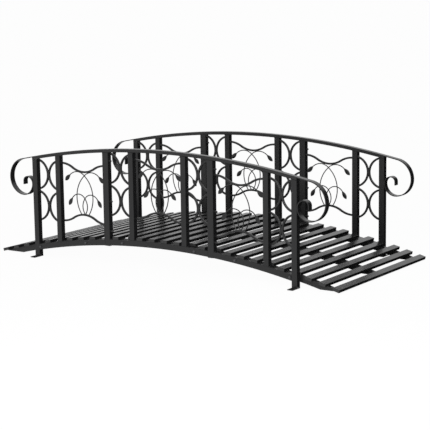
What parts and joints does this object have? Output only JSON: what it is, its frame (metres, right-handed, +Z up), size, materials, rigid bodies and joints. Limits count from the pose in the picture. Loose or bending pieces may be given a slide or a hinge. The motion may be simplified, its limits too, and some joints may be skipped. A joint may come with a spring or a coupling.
{
  "type": "arched garden bridge",
  "caption": "Arched steel garden footbridge: slatted deck on curved stringers between two railings with half rings, vine panels and end scrolls.",
  "frame": {"origin": "centre of the bridge's plan, on the plane under its four foot plates", "axes": "+X along the walk towards the right end, +Y towards the back rail, +Z up"},
  "size_m": [2.4294, 1.163, 0.7179],
  "materials": {
    "coated_steel": "satin black powder coat"
  },
  "bodies": {
    "root": {"back_bottom_bar_left": "coated_steel", "back_bottom_bar_middle": "coated_steel", "back_bottom_bar_right": "coated_steel", "back_end_half_rings": "coated_steel", "back_end_post_left": "coated_steel", "back_end_post_right": "coated_steel", "back_foot_plates": "coated_steel", "back_handrail_left": "coated_steel", "back_handrail_middle": "coated_steel", "back_handrail_right": "coated_steel", "back_inner_half_rings": "coated_steel", "back_inner_posts": "coated_steel", "back_joint_bars": "coated_steel", "back_joint_posts": "coated_steel", "back_scroll_left": "coated_steel", "back_scroll_right": "coated_steel", "back_vine_panel_left": "coated_steel", "back_vine_panel_middle": "coated_steel", "back_vine_panel_right": "coated_steel", "deck_slats_left": "coated_steel", "deck_slats_middle": "coated_steel", "deck_slats_right": "coated_steel", "deck_stringer_back": "coated_steel", "deck_stringer_front": "coated_steel", "deck_stringer_middle": "coated_steel", "front_bottom_bar_left": "coated_steel", "front_bottom_bar_middle": "coated_steel", "front_bottom_bar_right": "coated_steel", "front_end_half_rings": "coated_steel", "front_end_post_left": "coated_steel", "front_end_post_right": "coated_steel", "front_foot_plates": "coated_steel", "front_handrail_left": "coated_steel", "front_handrail_middle": "coated_steel", "front_handrail_right": "coated_steel", "front_inner_half_rings": "coated_steel", "front_inner_posts": "coated_steel", "front_joint_bars": "coated_steel", "front_joint_posts": "coated_steel", "front_scroll_left": "coated_steel", "front_scroll_right": "coated_steel", "front_vine_panel_left": "coated_steel", "front_vine_panel_middle": "coated_steel", "front_vine_panel_right": "coated_steel"}
  },
  "joints": []
}
